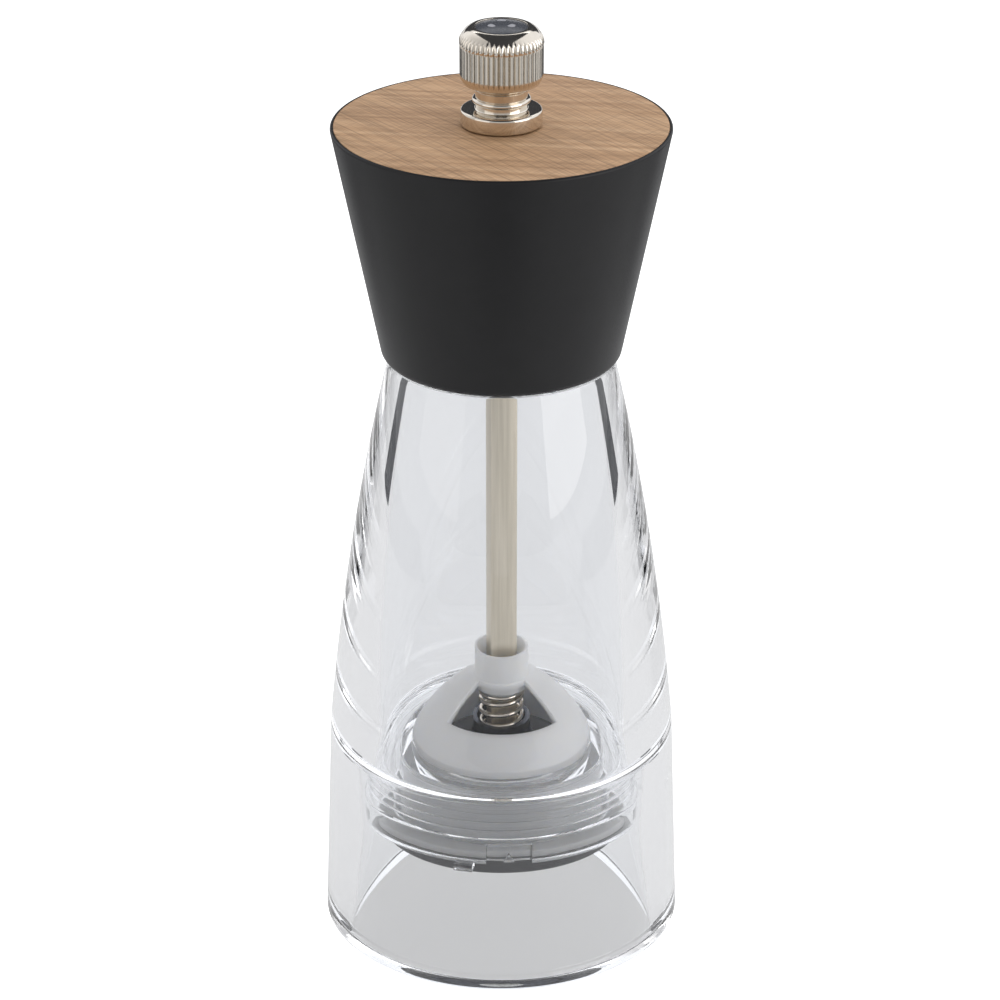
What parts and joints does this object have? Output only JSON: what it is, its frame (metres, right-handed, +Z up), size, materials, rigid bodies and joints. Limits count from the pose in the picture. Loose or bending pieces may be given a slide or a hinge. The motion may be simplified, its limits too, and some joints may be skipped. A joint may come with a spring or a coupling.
{
  "type": "pepper mill",
  "caption": "Hand-turned pepper mill with a clear flared body, a dark cap with a wooden top, a ridged adjusting knob and a burr grinder on a square shaft.",
  "frame": {"origin": "centre of the plane that the mill stands on", "axes": "+Z up along the shaft; -Y is the front, +X the right side; round about Z apart from the square shaft, the cage's two windows and the catches"},
  "size_m": [0.0634, 0.0634, 0.165],
  "materials": {
    "clear_acrylic": "clear, polished",
    "milky_plastic": "translucent natural plastic, satin",
    "dark_plastic": "moulded, satin",
    "burr_steel": "case-hardened, dark, slightly glossy",
    "shaft_steel": "brushed along its length",
    "spring_steel": "bright drawn wire",
    "zinc_steel": "zinc-plated",
    "black_cap": "black, satin",
    "wood": "unvarnished, faint saw marks",
    "chrome_knob": "bright nickel plate",
    "brass_insert": "turned",
    "knob_disc": "dark grey, satin gloss",
    "disc_mark": "pale grey inlay",
    "nylon": "white nylon"
  },
  "bodies": {
    "stand": {"body": "clear_acrylic", "mechanism_housing": "clear_acrylic", "cage": "milky_plastic", "burr_collar": "dark_plastic", "outer_burr": "burr_steel"},
    "carrier": {"thrust_washer": "zinc_steel", "spring": "spring_steel"},
    "drive": {"shaft": "shaft_steel", "inner_burr": "burr_steel", "rotor_washer": "zinc_steel", "rotor_screw": "zinc_steel"},
    "cap": {"cap_shell": "black_cap", "wooden_disc": "wood", "cap_core": "black_cap", "core_screws": "zinc_steel", "drive_plate": "zinc_steel", "plate_screws": "zinc_steel", "glide_washer": "nylon"},
    "knob": {"knob": "chrome_knob", "thread_insert": "brass_insert", "knob_insert": "knob_disc", "knob_mark": "disc_mark"}
  },
  "joints": [
    {"name": "grind_turn", "type": "hinge", "parent": "stand", "child": "carrier", "pos_m": [0, 0, 0.115], "axis": [0, 0, -1], "continuous": true},
    {"name": "shaft_adjust", "type": "slide", "parent": "carrier", "child": "drive", "axis": [0, 0, 1], "range_m": [0, 0.0016], "deforming": ["spring"]},
    {"name": "cap_lift", "type": "slide", "parent": "carrier", "child": "cap", "axis": [0, 0, 1], "range_m": [0, 0.056]},
    {"name": "knob_turn", "type": "hinge", "parent": "cap", "child": "knob", "pos_m": [0, 0, 0.1482], "axis": [0, 0, -1], "range_deg": [0, 720]}
  ],
  "couplings": [
    {"joint": "shaft_adjust", "follows": "knob_turn", "m_per_rad": 0.00012732}
  ]
}
